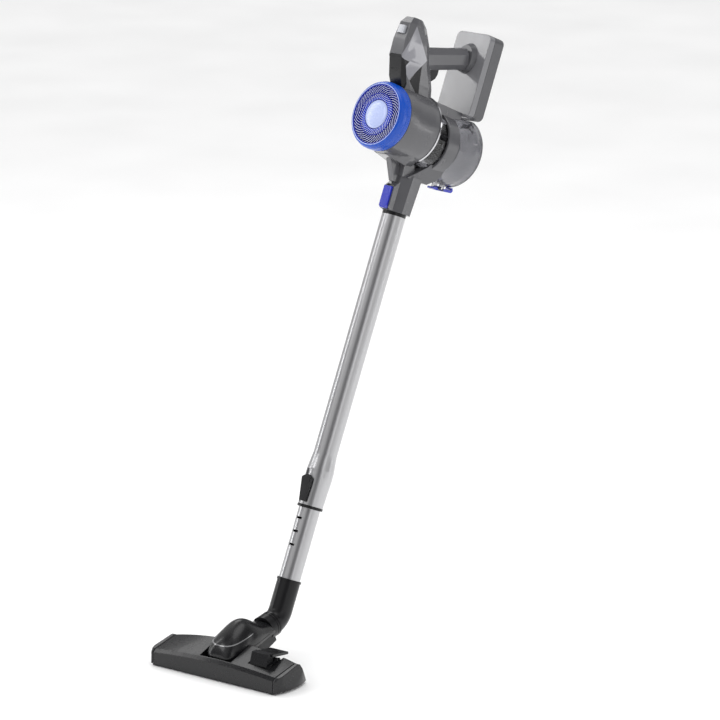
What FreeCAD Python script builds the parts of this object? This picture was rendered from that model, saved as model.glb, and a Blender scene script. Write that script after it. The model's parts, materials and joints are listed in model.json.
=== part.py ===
import FreeCAD, Part
import math
import os

# Cordless stick vacuum, in millimetres.
# Row frame: the floor head's sole lies on z = 0, +Z is up, the head faces -Y and X is lateral.
# Everything above the elbow is drawn in the wand frame: z runs up the tube from the elbow's
# centre, y points away from the front, and x is lateral.

V = FreeCAD.Vector
X_AXIS = V(1, 0, 0)
Y_AXIS = V(0, 1, 0)
Z_AXIS = V(0, 0, 1)

# ---- driving dimensions: stance ---------------------------------------------------------
elbow_centre = V(0, 113.5, 52.5)
wand_lean = 22.4           # degrees the wand leans back from upright
wand_twist = -9.25         # degrees the wand is turned in the elbow socket
neck_rise = 11.0           # degrees the neck's swivel axis climbs to the rear
running_gap = 0.3          # clearance between bodies that move on each other
fit_gap = 0.05             # clearance of a shaft in its bore

# ---- driving dimensions: floor head -----------------------------------------------------
head_half_width = 108.5
head_front = -37.0
head_rear = 36.5
head_wall = 2.4
sole_thickness = 1.0
cap_length = 10.1
well_half_width = 28.5
pivot = V(0, 0, 20)
barrel_radius = 13.0
wheel_radius = 9.0
wheel_x = 80.0
roller_radius = 5.0
pedal_x = 69.0
front_brush_y = -17.5
rear_brush_y = 14.0
brush_inner = 33.0          # the rear brush rows run from here
brush_outer = 70.0          # to here, clear of the wheels
screw_places = [(x, y) for x in (-102, -36, 36, 102) for y in (-29.5, 27.5)]

# ---- driving dimensions: wand -----------------------------------------------------------
upper_tube_radius = 17.5
lower_tube_radius = 16.0
tube_wall = 0.9
lower_tube_foot = 20.0
lower_tube_top = 420.0
upper_tube_foot = 170.0
upper_tube_top = 607.0
collar_top = 640.0
notch_pitch = 20.0
notch_first = 109.5
notch_count = 14

# ---- driving dimensions: hand unit ------------------------------------------------------
motor_z = 736.0            # height of the motor and filter axis above the elbow
cup_z = 726.0              # height of the dust cup's axis
ring_front = -92.0
ring_rear = -71.0
ring_radius = 50.6
grille_radius = 45.0
hub_radius = 21.0
body_front = -70.5
body_rear = -6.6
cup_front = -5.2
cup_small_radius = 43.0
cradle_front = 21.0         # the socket's ring that the cup slides into
cradle_rear = 44.5
cradle_radius = 47.0
cup_large_radius = 52.0
cup_rear = 87.0
door_thickness = 4.4
battery_front = 57.5
battery_depth = 32.0
battery_width = 69.0
battery_foot = 776.6
battery_height = 125.4
cup_flat = 774.6           # height of the flat on top of the cup's rim
socket_foot = 612.0
socket_radius = 22.5
handle_tilt = 16.0         # degrees the handle climbs to the rear


# ---- shape helpers ----------------------------------------------------------------------
def block(x0, x1, y0, y1, z0, z1):
    return Part.makeBox(x1 - x0, y1 - y0, z1 - z0, V(x0, y0, z0))


def rod(radius, start, axis, length):
    return Part.makeCylinder(radius, length, start, axis)


def pipe(outer, inner, start, axis, length):
    return rod(outer, start, axis, length).cut(rod(inner, start, axis, length))


def polygon(points):
    return Part.makePolygon(points + [points[0]])


def side_prism(outline, x0, x1):
    """Extrude a (y, z) outline from x0 to x1."""
    face = Part.Face(polygon([V(x0, y, z) for y, z in outline]))
    return face.extrude(V(x1 - x0, 0, 0))


def front_prism(outline, y0, y1):
    """Extrude an (x, z) outline from y0 to y1."""
    face = Part.Face(polygon([V(x, y0, z) for x, z in outline]))
    return face.extrude(V(0, y1 - y0, 0))


def turned(outline, centre_z):
    """Turn a (y, radius) outline about the line parallel to Y at centre_z."""
    face = Part.Face(polygon([V(0, y, centre_z + r) for y, r in outline]))
    return face.revolve(V(0, 0, centre_z), Y_AXIS, 360)


def turned_up(outline):
    """Turn a (radius, z) outline about the Z axis."""
    face = Part.Face(polygon([V(r, 0, z) for r, z in outline]))
    return face.revolve(V(0, 0, 0), Z_AXIS, 360)


def ring_copies(shape, count, centre, axis):
    copies = []
    for i in range(count):
        copy = shape.copy()
        copy.rotate(centre, axis, 360.0 * i / count)
        copies.append(copy)
    return copies


def both_sides(shape):
    return [shape, shape.mirror(V(0, 0, 0), X_AXIS)]


def fused(shapes):
    result = shapes[0]
    for shape in shapes[1:]:
        result = result.fuse(shape)
    return result.removeSplitter()


def rounded(shape, radius, keep):
    """Fillet the edges that the test keep(edge) picks."""
    return shape.makeFillet(radius, [edge for edge in shape.Edges if keep(edge)])


def along(axis):
    """An edge test: straight and parallel to the axis."""
    def test(edge):
        if edge.Curve.TypeId != "Part::GeomLine":
            return False
        return abs(edge.tangentAt(edge.FirstParameter).dot(axis)) > 0.999
    return test


def loft(sections, ruled=True):
    return Part.makeLoft([polygon(points) for points in sections], True, ruled)


def in_wand(shape):
    """Move a shape from the wand frame to the row frame."""
    placed = shape.copy()
    placed.rotate(V(0, 0, 0), X_AXIS, -wand_lean)
    placed.rotate(V(0, 0, 0), Z_AXIS, wand_twist)
    placed.translate(elbow_centre)
    return placed


# ---- directions shared by the elbow and the neck ----------------------------------------
lean = math.radians(wand_lean)
twist = math.radians(wand_twist)
rise = math.radians(neck_rise)
tube_dir = V(-math.sin(twist) * math.sin(lean), math.cos(twist) * math.sin(lean), math.cos(lean))
neck_dir = V(0, math.cos(rise), math.sin(rise))


# ---- floor head -------------------------------------------------------------------------
def crown(x):
    """How far the head's top sinks from its middle to a place x along it."""
    return (x / head_half_width) ** 2


def cover_section(x):
    front_top = 30.0 - 5.5 * crown(x)
    rear_top = 46.0 - 12.0 * crown(x)
    return [(head_front, 3.0), (head_front + 0.9, front_top - 4.6), (-31.0, front_top), (13.0, rear_top),
            (17.0, rear_top - 1.2), (head_rear, 3.0)]


def cover_inner_section(x):
    front_top = 30.0 - 5.5 * crown(x) - head_wall
    rear_top = 46.0 - 12.0 * crown(x) - head_wall
    return [(head_front + head_wall, 0.0), (head_front + head_wall + 0.8, front_top - 4.2),
            (-30.2, front_top), (12.6, rear_top), (15.2, rear_top - 1.2), (head_rear - head_wall, 0.0)]


def cover_loft(section, half):
    stations = [-half, -half * 0.5, 0.0, half * 0.5, half]
    return loft([[V(x, y, z) for y, z in section(x)] for x in stations], False)


def well(grow):
    """The space that the neck's barrel and cover turn in."""
    half = well_half_width + grow
    drum = rod(31.5 + grow, V(-half, pivot.y, pivot.z), X_AXIS, 2 * half)
    drum = drum.cut(block(-200, 200, -100, 100, -50, 15.5 - grow))
    barrel = rod(barrel_radius + 0.4 + grow, V(-half, pivot.y, pivot.z), X_AXIS, 2 * half)
    way_out = block(-half, half, pivot.y, head_rear + 5, pivot.z - 15.5 - grow, 60)
    return fused([drum, barrel, way_out])


def head_cover():
    half = head_half_width
    solid = cover_loft(cover_section, half)
    shell = solid.cut(cover_loft(cover_inner_section, half + 1))
    lining = well(2.0).common(solid)
    shell = shell.fuse(lining).cut(well(0.0))
    for x in (-wheel_x, wheel_x):
        shell = shell.cut(block(x - 6, x + 6, 12, 34.6, -1, 21))
    shell = shell.cut(pedal_recess())
    for ear in both_sides(rod(6.5, V(well_half_width + 2, pivot.y, pivot.z), X_AXIS, 6)):
        shell = shell.fuse(ear)
    for x, y in screw_places:
        shell = shell.fuse(rod(3.0, V(x, y, 3.05), Z_AXIS, 60).common(solid))
    for pin in both_sides(rod(4.0, V(20, pivot.y, pivot.z), X_AXIS, 20)):
        shell = shell.cut(pin)
    for fastener in head_screws().Solids:
        shell = shell.cut(fastener)
    return shell.removeSplitter()


def pedal_recess():
    return block(pedal_x - 17, pedal_x + 19.5, -21.5, 50, 22, 60)


def end_cap():
    """One rounded end of the head, bulging a little past the cover."""
    start = head_half_width + 1.6
    end = start + cap_length
    outer = side_prism(cover_section(head_half_width), start, end)
    cap = outer.common(rod(90, V(end - 90, -2, -5), Z_AXIS, 60))
    draft = front_prism([(start - 1, 0), (end + 1, 0), (end + 1, 5), (end - 5.5, 40), (start - 1, 40)],
                        -60, 60)
    cap = cap.common(draft)
    for radius, y, y_edge in ((5.0, head_front + 5.0, head_front - 5), (7.0, head_rear - 7.0, head_rear + 5)):
        corner = rod(radius, V(end - radius - 0.6, y, -5), Z_AXIS, 60)
        square = block(end - radius - 0.6, end + 30, min(y, y_edge), max(y, y_edge), -5, 60)
        cap = cap.cut(square.cut(corner))
    return cap


def end_caps():
    return Part.makeCompound(both_sides(end_cap()))


def edge_bands():
    """The soft band between the cover and each end cap, with its groove."""
    bands = []
    for inset, x0, x1 in ((1.0, 0.1, 0.75), (1.0, 0.85, 1.5)):
        start = head_half_width
        outline = [(head_front + inset, 3.0), (head_front + 0.9 + inset, 19.6), (-30.6, 24.5 - inset),
                   (13.0, 34.0 - inset), (16.2, 32.8 - inset), (head_rear - inset, 3.0)]
        bands += both_sides(side_prism(outline, start + x0, start + x1))
    return Part.makeCompound(bands)


def head_base():
    """The lower frame, with the suction mouth, the brush slots and the wheel wells."""
    half = head_half_width + 1.6
    plate = block(-half, half, head_front + 0.4, head_rear - 0.4, sole_thickness, 3.0)
    plate = plate.cut(block(-92, 92, -9, 9, 0, 5))
    for slot in brush_slots(3.2):
        plate = plate.cut(slot)
    for x in (-wheel_x, wheel_x):
        plate = plate.cut(block(x - 6, x + 6, 12, 34, 0, 5))
        plate = plate.cut(block(x - 6, x + 6, -32.6, -20.5, 0, 5))
    ribs = []
    for x in (-95.0, -50.0, 50.0, 95.0):
        ribs.append(block(x - 1, x + 1, -14, 10.5, 2.9, 9))
    base = fused([plate] + ribs)
    for fastener in head_screws().Solids:
        base = base.cut(fastener)
    return base


def brush_slots(half_width):
    """The slots that the bristles come down through: one long, and two short ones behind."""
    front = block(-96, 96, front_brush_y - half_width, front_brush_y + half_width, -1, 5)
    rear = block(brush_inner - 2, brush_outer + 2, rear_brush_y - half_width, rear_brush_y + half_width,
                 -1, 5)
    return [front] + both_sides(rear)


def sole_plate():
    """The polished metal sole that glides on carpet."""
    plate = block(-100, 100, -35.0, 35.0, 0, sole_thickness)
    plate = plate.cut(block(-90, 90, -7, 7, -1, 2))
    for slot in brush_slots(3.4):
        plate = plate.cut(slot)
    for x in (-wheel_x, wheel_x):
        plate = plate.cut(block(x - 6.4, x + 6.4, 12.6, 33.4, -1, 2))
        plate = plate.cut(block(x - 6.4, x + 6.4, -32.8, -20.9, -1, 2))
    for x, y in screw_places:
        plate = plate.cut(rod(2.8, V(x, y, -1), Z_AXIS, 4))
    return plate


def rear_wheel():
    centre = V(wheel_x - 4.5, 23.5, wheel_radius + 0.1)
    wheel = rod(wheel_radius, centre, X_AXIS, 9)
    groove = pipe(wheel_radius + 1, wheel_radius - 0.8, centre + V(4, 0, 0), X_AXIS, 1)
    return wheel.cut(groove).cut(rod(1.5 + fit_gap, centre, X_AXIS, 9))


def rear_wheels():
    return Part.makeCompound(both_sides(rear_wheel()))


def front_rollers():
    centre = V(wheel_x - 4.5, -26.5, roller_radius + 0.1)
    roller = rod(roller_radius, centre, X_AXIS, 9).cut(rod(1.2 + fit_gap, centre, X_AXIS, 9))
    return Part.makeCompound(both_sides(roller))


def wheel_axles():
    axles = []
    for x in (-wheel_x, wheel_x):
        axles.append(rod(1.5, V(x - 7.5, 23.5, wheel_radius + 0.1), X_AXIS, 15))
        axles.append(rod(1.2, V(x - 7.5, -26.5, roller_radius + 0.1), X_AXIS, 15))
    return Part.makeCompound(axles)


def brush_carrier():
    """The frame that carries the brush rows and drops them for hard floors."""
    front = block(-94, 94, front_brush_y - 2.4, front_brush_y + 2.4, 6.0, 9.0)
    rear = block(brush_inner, brush_outer, rear_brush_y - 2.4, rear_brush_y + 2.4, 6.0, 9.0)
    tie = block(62, 65, front_brush_y - 2.4, rear_brush_y + 2.4, 9.0, 11.0)
    return fused([front] + both_sides(rear) + both_sides(tie))


def brush_bristles():
    front = block(-93, 93, front_brush_y - 1.4, front_brush_y + 1.4, 1.4, 6.0)
    rear = block(brush_inner + 1, brush_outer - 1, rear_brush_y - 1.4, rear_brush_y + 1.4, 1.4, 6.0)
    return Part.makeCompound([front] + both_sides(rear))


def pedal():
    """The foot rocker that drops the brush: a tread block and a plate behind it."""
    x0 = pedal_x - 15
    x1 = pedal_x + 15
    tread = side_prism([(-19.5, 31.0), (-13.5, 48.0), (-4.0, 48.0), (-4.0, 33.0)], x0, x1)
    plate = side_prism([(-8, 43.6), (-8, 47.8), (27, 43.2), (27, 39.6)], x0 + 1, x1 + 3)
    hub = rod(4.0, V(x0, 4, 36), X_AXIS, x1 - x0)
    stem = block(x0 + 4, x1 - 4, 1, 7, 36, 43.6)
    link = block(x0 + 4, x1 - 4, -6, 4, 33.5, 38)
    whole = fused([tread, plate, hub, stem, link])
    return whole.cut(rod(1.6 + fit_gap, V(x0 - 1, 4, 36), X_AXIS, x1 - x0 + 2))


def pedal_bracket():
    """The two cheeks that carry the pedal's pin, standing in the cover's recess."""
    cheeks = []
    for x in (pedal_x - 16.8, pedal_x + 15.4):
        cheek = side_prism([(-12, 24.0), (-1, 39.0), (9, 39.0), (18, 24.0)], x, x + 1.4)
        cheeks.append(cheek.cut(rod(1.6, V(x - 1, 4, 36), X_AXIS, 4)))
    floor = block(pedal_x - 16.8, pedal_x + 16.8, -20.4, 22.0, 22.0, 24.2)
    return fused([floor] + cheeks)


def head_pins():
    """The two pins that the neck tilts on, and the pedal's pin."""
    pedal_pin = rod(1.6, V(pedal_x - 16.9, 4, 36), X_AXIS, 33.8)
    return Part.makeCompound(both_sides(rod(4.0, V(21.0, pivot.y, pivot.z), X_AXIS, 16)) + [pedal_pin])


def head_screws():
    """The screws that hold the base to the cover, driven from below."""
    return Part.makeCompound([screw(V(x, y, 2.4), Z_AXIS, 2.4, 7) for x, y in screw_places])


def screw(centre, axis, head_radius, length):
    """A cross-head screw: its head stands on centre and its shank goes along the axis."""
    shank = rod(head_radius * 0.5, centre, axis, length)
    head = rod(head_radius, centre - axis * 1.6, axis, 1.6)
    return shank.fuse(head)


# ---- neck and elbow ---------------------------------------------------------------------
collar_start = elbow_centre - neck_dir * 27.0
collar_length = 12.5


def neck_body():
    """The hollow neck: a barrel on the tilt pins, widening into the swivel collar's seat."""
    barrel = rod(barrel_radius, V(-24, pivot.y, pivot.z), X_AXIS, 48)
    front = polygon([V(-22, 8, 9.5), V(22, 8, 9.5), V(22, 2, 33), V(-22, 2, 33)])
    middle = polygon([V(-21, 52, 19), V(21, 52, 19), V(18, 46, 54), V(-18, 46, 54)])
    rear = polygon([V(-16, 90, 30), V(16, 90, 30), V(15, 82, 50), V(-15, 82, 50)])
    arm = Part.makeLoft([front, middle, rear], True, True)
    seat = rod(19.0, collar_start - neck_dir * 8, neck_dir, 8)
    body = fused([barrel, arm, seat])
    throat = rod(14.2, elbow_centre, neck_dir * -1, 80)
    mouth = block(-16, 16, -6, 30, 6, 24)
    body = body.cut(throat).cut(mouth.cut(block(-17, 17, 12, 40, 0, 14)))
    for pin in both_sides(rod(4.0 + fit_gap, V(19, pivot.y, pivot.z), X_AXIS, 8)):
        body = body.cut(pin)
    return body


def shield_section(y, base, top, half):
    """A closed arch across the neck: flat below and domed above."""
    left = V(-half, y, base)
    right = V(half, y, base)
    shoulder_l = V(-half * 0.86, y, base + (top - base) * 0.62)
    shoulder_r = V(half * 0.86, y, base + (top - base) * 0.62)
    crown = V(0, y, top)
    curve = Part.BSplineCurve()
    curve.interpolate([left, shoulder_l, crown, shoulder_r, right])
    return Part.Wire([curve.toShape(), Part.makeLine(right, left)])


def shield_solid(inset):
    rows = [(-25.6, 30.5, 34.5, 12.5), (-20.0, 30.0, 45.5, 21.0), (-6.0, 31.0, 59.5, 25.6),
            (10.0, 33.8, 68.5, 26.6), (24.0, 36.0, 74.0, 26.6), (35.0, 37.6, 73.5, 26.2),
            (48.0, 40.0, 67.5, 25.0), (66.0, 42.5, 60.5, 22.5), (84.0, 44.5, 54.0, 19.5)]
    sections = [shield_section(y, base, top - inset, half - inset) for y, base, top, half in rows]
    return Part.makeLoft(sections, True, False)


def neck_shield():
    """The domed cover on the neck, open below where the neck's arm sits."""
    outer = shield_solid(0.0)
    arm_space = loft([
        [V(-22.3, 0, 8), V(22.3, 0, 8), V(22.3, -6, 33.6), V(-22.3, -6, 33.6)],
        [V(-21.3, 52, 18), V(21.3, 52, 18), V(18.3, 46, 54.4), V(-18.3, 46, 54.4)],
        [V(-16.3, 92, 29), V(16.3, 92, 29), V(15.3, 84, 50.4), V(-15.3, 84, 50.4)]])
    collar_space = rod(19.3, collar_start - neck_dir * 8.3, neck_dir, 60)
    barrel_space = rod(barrel_radius + 0.3, V(-40, pivot.y, pivot.z), X_AXIS, 80)
    return outer.cut(arm_space).cut(collar_space).cut(barrel_space)


def swivel_collar():
    """The grooved ring that the elbow turns in, fixed on the neck's seat."""
    ring = rod(18.8, collar_start + neck_dir * 0.02, neck_dir, collar_length)
    for offset in (4.0, 8.0):
        groove_start = collar_start + neck_dir * offset
        ring = ring.cut(pipe(22.0, 18.1, groove_start, neck_dir, 1.2))
    return ring.cut(rod(16.6, collar_start - neck_dir, neck_dir, collar_length + 2))


def elbow_path(start, end):
    """A straight, arc and straight line from the neck's axis to the tube's axis."""
    bend_radius = 27.0
    turn = neck_dir.getAngle(tube_dir)
    reach = bend_radius * math.tan(turn / 2)
    first = elbow_centre - neck_dir * reach
    last = elbow_centre + tube_dir * reach
    middle_dir = (tube_dir - neck_dir).normalize()
    middle = elbow_centre + middle_dir * (bend_radius / math.cos(turn / 2) - bend_radius)
    lower = Part.makeLine(elbow_centre - neck_dir * start, first)
    bend = Part.Arc(first, middle, last).toShape()
    upper = Part.makeLine(last, elbow_centre + tube_dir * end)
    return Part.Wire([lower, bend, upper])


def swept_round(radius, start, end):
    path = elbow_path(start, end)
    profile = Part.Wire(Part.makeCircle(radius, elbow_centre - neck_dir * start, neck_dir))
    return path.makePipeShell([profile], True, False)


def elbow_pipe():
    """The bent pipe between the neck and the wand, with its swivel spigot and socket lip."""
    outer = swept_round(17.2, 14.2, 60.0)
    lip = rod(18.2, elbow_centre + tube_dir * 56.5, tube_dir, 3.5)
    spigot = rod(16.2, elbow_centre - neck_dir * 26.4, neck_dir, 13.0)
    bore = swept_round(13.2, 30.0, 18.0)
    socket = rod(lower_tube_radius + 0.05, elbow_centre + tube_dir * (lower_tube_foot - 0.1), tube_dir, 60)
    return fused([outer, lip, spigot]).cut(bore).cut(socket)


# ---- wand -------------------------------------------------------------------------------
def lower_tube():
    tube = pipe(lower_tube_radius, lower_tube_radius - tube_wall, V(0, 0, lower_tube_foot), Z_AXIS,
                lower_tube_top - lower_tube_foot)
    for i in range(notch_count):
        z = notch_first + i * notch_pitch
        tube = tube.cut(block(-5, 5, -20, -12, z - 1.6, z + 1.6))
    return tube


def upper_tube():
    tube = pipe(upper_tube_radius, upper_tube_radius - tube_wall, V(0, 0, upper_tube_foot), Z_AXIS,
                upper_tube_top - upper_tube_foot)
    return tube.cut(block(-4, 4, -20, -12, 180, 200))


def tube_collar():
    """The black end piece that plugs into the hand unit."""
    return turned_up([(15.0, upper_tube_top - 18), (16.55, upper_tube_top - 18), (16.55, upper_tube_top),
                      (17.5, upper_tube_top), (17.5, collar_top - 1.5), (16.2, collar_top),
                      (15.0, collar_top)])


def sleeve():
    """The telescopic lock's sleeve, swelling round the slide button."""
    body = turned_up([(17.55, 170.2), (18.5, 170.2), (19.2, 190), (20.2, 213), (20.0, 224), (18.2, 240),
                      (17.8, 246), (17.55, 246)])
    return body.cut(block(-9.8, 9.8, -30, -12, 172.0, 222.0))


def sleeve_ring():
    return turned_up([(16.3, 165.8), (18.6, 165.8), (19.0, 166.8), (19.0, 170.0), (16.3, 170.0)])


def slide_button():
    """The wedge-shaped thumb slide with a pointed top."""
    wedge = side_prism([(-17.8, 174.0), (-19.2, 174.0), (-25.4, 211.0), (-24.0, 213.4), (-17.8, 213.4)],
                       -9.2, 9.2)
    plan = [(-7.4, 173.0), (7.4, 173.0), (9.2, 208.0), (0.0, 214.0), (-9.2, 208.0)]
    return wedge.common(front_prism(plan, -30, -10))


# ---- hand unit: wand socket -------------------------------------------------------------
def octagon(radius, z, y_shift=0.0):
    points = []
    for i in range(8):
        angle = math.radians(22.5 + 45 * i)
        points.append(V(radius * math.cos(angle), y_shift + radius * math.sin(angle), z))
    return points


def wand_socket():
    """The faceted socket, the duct that climbs to the cradle ring, and the stiffening web."""
    sleeve_part = loft([octagon(socket_radius, socket_foot, 2.5), octagon(socket_radius + 1.5, 668, 4.5)])
    duct = loft([
        [V(-19, -14, 664), V(19, -14, 664), V(20, 27, 664), V(-20, 27, 664)],
        [V(-21, 2, 676), V(21, 2, 676), V(22, 40, 673), V(-22, 40, 673)],
        [V(-26, 14, 688), V(26, 14, 688), V(27, cradle_rear, 681), V(-27, cradle_rear, 681)],
        [V(-31, 20, 700), V(31, 20, 700), V(31, cradle_rear, 694), V(-31, cradle_rear, 694)]])
    ring = turned([(cradle_front, 0), (cradle_front, cradle_radius - 0.8),
                   (cradle_front + 1.2, cradle_radius), (cradle_rear - 1.2, cradle_radius),
                   (cradle_rear, cradle_radius - 0.8), (cradle_rear, 0)], cup_z)
    web = side_prism([(-46, 688), (-4, 690), (-4, 652), (-25, 654)], -5, 5)
    bridge = block(-14, 14, -22, 6, 664, 690)
    boss = side_prism([(-20, 612.5), (-25.5, 616), (-25.5, 646), (-16, 656), (-10, 656), (-10, 612.5)],
                      -10.5, 10.5)
    bridge = bridge.common(side_prism([(-22, 690), (-20, 664), (8, 664), (-4, 690)], -20, 20))
    whole = fused([sleeve_part, duct, ring, web, boss, bridge])
    whole = whole.cut(rod(upper_tube_radius + 0.3, V(0, 0, 600), Z_AXIS, 42))
    whole = whole.cut(rod(15.0, V(0, 0, 640), Z_AXIS, 20))
    throat = loft([
        [V(-13, -10, 652), V(13, -10, 652), V(13, 16, 652), V(-13, 16, 652)],
        [V(-15, 8, 674), V(15, 8, 674), V(15, 34, 674), V(-15, 34, 674)],
        [V(-16, 25, 692), V(16, 25, 692), V(16, 41, 692), V(-16, 41, 692)]])
    whole = whole.cut(throat)
    whole = whole.cut(housing_envelope(0.05)).cut(keel_envelope())
    whole = whole.cut(rod(cup_small_radius + 0.4, V(0, cup_front - 1, cup_z), Y_AXIS, 90))
    whole = whole.cut(turned([(-9.0, 0), (-9.0, 52.2), (-5.5, 52.2), (-5.5, 0)], motor_z))
    whole = whole.cut(block(-8.2, 8.2, -40, -18.6, 600, 650))
    return largest(whole.cut(release_pin()))


def largest(shape):
    return max(shape.Solids, key=lambda solid: solid.Volume)


def release_button():
    """The wand release rocker on the front of the socket."""
    face = front_prism([(-7.6, 618), (-5, 613), (5, 613), (7.6, 618), (7.6, 646), (-7.6, 646)], -28.5, -23.0)
    tail = block(-5, 5, -23.0, -20.5, 625, 640)
    button = rounded(face, 1.2, along(Y_AXIS)).fuse(tail)
    return button.cut(rod(1.25 + fit_gap, V(-10, -23.5, 632), X_AXIS, 20)).removeSplitter()


# ---- hand unit: motor housing -----------------------------------------------------------
def housing_outline(grow):
    return [(body_front - grow, 0), (body_front - grow, 49.6 + grow), (-52, 51.0 + grow),
            (-20, 51.4 + grow), (body_rear - 2.4, 50.6 + grow), (body_rear + grow, 50.6 + grow),
            (body_rear + grow, 0)]


def housing_envelope(grow):
    return turned(housing_outline(grow), motor_z)


def keel_envelope():
    """The three-faced keel under the motor casing."""
    return loft([
        [V(-30, -62, 700), V(-11, -62, 685.5), V(11, -62, 685.5), V(30, -62, 700)],
        [V(-34, -24, 700), V(-17, -24, 679.5), V(17, -24, 679.5), V(34, -24, 700)],
        [V(-32, body_rear, 700), V(-14, body_rear, 682.5), V(14, body_rear, 682.5), V(32, body_rear, 700)]])


def motor_housing():
    """The motor's casing: a drum with a faceted keel, open to the front."""
    body = housing_envelope(0.0).fuse(keel_envelope())
    hollow = turned([(-80, 0), (-80, 47.2), (-52, 48.4), (-20, 48.8), (-9.6, 48.2), (-9.6, 0)], motor_z)
    body = body.cut(hollow)
    body = body.cut(rod(24, V(0, -12, motor_z), Y_AXIS, 20))
    return largest(body.removeSplitter())


def flange_ring():
    """The bright trim ring where the cup meets the motor casing."""
    ring = turned([(-8.8, 50.7), (-8.8, 51.6), (-6.4, 52.0), (-5.7, 51.4), (-5.7, 44.0), (-6.5, 44.0),
                   (-6.5, 50.7)], motor_z)
    return ring.cut(keel_envelope())


def filter_ring():
    ring = turned([(ring_front, 45.2), (ring_front, 46.2), (-90.4, 48.2), (-86, 50.2), (-82, ring_radius),
                   (-74, ring_radius), (ring_rear, 49.6), (ring_rear, 46.8), (-62, 46.8), (-62, 44.4),
                   (-88, 44.4), (-88, 45.2)], motor_z)
    return ring


def exhaust_grille():
    """The outlet grille: an outer rim, a hub seat and curved blades between them."""
    rim = turned([(-92.2, 42.6), (-92.2, 45.1), (-88.1, 45.1), (-88.1, 42.6)], motor_z)
    seat = turned([(-89.6, 0), (-89.6, 21.4), (-86.5, 21.4), (-86.5, 0)], motor_z)
    middle = turned([(-90.8, 30.0), (-90.8, 31.4), (-87.2, 31.4), (-87.2, 30.0)], motor_z)
    blade = block(-0.55, 0.55, -90.6, -87.4, motor_z + 21.1, motor_z + 43.2)
    return fused([rim, seat, middle] + ring_copies(blade, 36, V(0, 0, motor_z), Y_AXIS))


def grille_hub():
    return turned([(-93.2, 0), (-93.2, 18.5), (-91.6, hub_radius), (-89.65, hub_radius), (-89.65, 0)],
                  motor_z)


def outlet_filter():
    return turned([(-86.0, 14), (-86.0, 43.8), (-64, 43.8), (-64, 14)], motor_z)


def motor_can():
    """The motor's case, with an end wall at each bearing."""
    can = turned([(-58, 9.0), (-58, 29), (-56, 31), (-20, 31), (-20, 9.0), (-24, 9.0), (-24, 28), (-54, 28),
                  (-54, 9.0)], motor_z)
    for y in (-59, -25):
        vent = block(-2.5, 2.5, y, y + 6, motor_z + 14, motor_z + 24)
        for copy in ring_copies(vent, 8, V(0, 0, motor_z), Y_AXIS):
            can = can.cut(copy)
    return can


def motor_stator():
    core = turned([(-50, 17), (-50, 27.9), (-28, 27.9), (-28, 17)], motor_z)
    slot = block(-1.6, 1.6, -51, -27, motor_z + 16, motor_z + 24)
    for copy in ring_copies(slot, 12, V(0, 0, motor_z), Y_AXIS):
        core = core.cut(copy)
    return core


def motor_bearings():
    front = pipe(8.95, 2.55, V(0, -57.6, motor_z), Y_AXIS, 3.4)
    rear = pipe(8.95, 2.55, V(0, -23.8, motor_z), Y_AXIS, 3.4)
    return Part.makeCompound([front, rear])


def motor_rotor():
    shaft = rod(2.5, V(0, -60, motor_z), Y_AXIS, 49.5)
    magnet = rod(16.4, V(0, -49, motor_z), Y_AXIS, 20)
    return shaft.fuse(magnet).removeSplitter()


def fan_wheel():
    """The suction fan: a back plate and swept blades on the motor's shaft."""
    plate = turned([(-19.0, 2.5), (-19.0, 36), (-17.6, 36), (-15.4, 12), (-10.6, 6), (-10.6, 2.5)], motor_z)
    blade = block(-0.6, 0.6, -18.0, -12.5, motor_z + 8, motor_z + 34)
    blade.rotate(V(0, 0, motor_z + 8), Y_AXIS, 28)
    return fused([plate] + ring_copies(blade, 9, V(0, 0, motor_z), Y_AXIS))


def motor_mounts():
    """Soft rings that hold the motor in its casing."""
    front = turned([(-52, 31.05), (-52, 48.3), (-46, 48.3), (-46, 31.05)], motor_z)
    rear = turned([(-30, 31.05), (-30, 48.5), (-24, 48.5), (-24, 31.05)], motor_z)
    return Part.makeCompound([front, rear])


def inlet_filter():
    """The washable filter cartridge inside the cyclone, in front of the fan."""
    return turned([(-4.0, 9), (-4.0, 19.4), (27, 19.4), (27, 9)], cup_z)


# ---- hand unit: spine, handle and battery dock ------------------------------------------
def spine_section(z, front, front_half, y1, w1, y2, w2, rear, rear_half):
    right = [(front_half, front), (w1, y1), (w2, y2), (rear_half, rear)]
    left = [(-x, y) for x, y in reversed(right)]
    return [V(x, y, z) for x, y in right + left]


def spine_solid(inset):
    rows = [(768, -58, 11, -46, 19, -20, 24, -9, 20), (797, -77, 12.5, -63, 16.5, -22, 19.0, -9, 12),
            (824, -86.5, 13, -83, 14.5, -36, 17, -21, 10), (850, -88.5, 12, -80, 15.5, -46, 16.5, -32, 9.5),
            (876, -85.5, 10.5, -75, 14, -60, 14, -49, 8.5), (885.5, -79, 7.5, -73, 10, -66, 10, -59, 6.5)]
    sections = []
    for z, front, fw, y1, w1, y2, w2, rear, rw in rows:
        level = z - inset * (z > 880)
        sections.append(spine_section(level, front + inset, fw - inset, y1, w1 - inset, y2, w2 - inset,
                                      rear - inset, rw - inset))
    return loft(sections)


def spine_housing():
    """The upright that joins the motor casing to the handle: a faceted hollow shell."""
    shell = spine_solid(0.0).cut(spine_solid(2.2))
    shell = shell.cut(housing_envelope(0.05)).cut(block(-60, 60, -120, 60, 700, motor_z + 30))
    shell = shell.cut(front_prism(arch_outline(15.2, 780, 828), -100, -64))
    shell = shell.cut(trigger_slot())
    shell = shell.cut(front_prism(window_outline(0.25), -100, -80))
    shell = shell.cut(handle_solid(0.05))
    return largest(shell)


def arch_outline(half, z0, z1):
    return [(-half, z0), (half, z0), (half, z1 - 6), (half - 5, z1), (-half + 5, z1), (-half, z1 - 6)]


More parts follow.
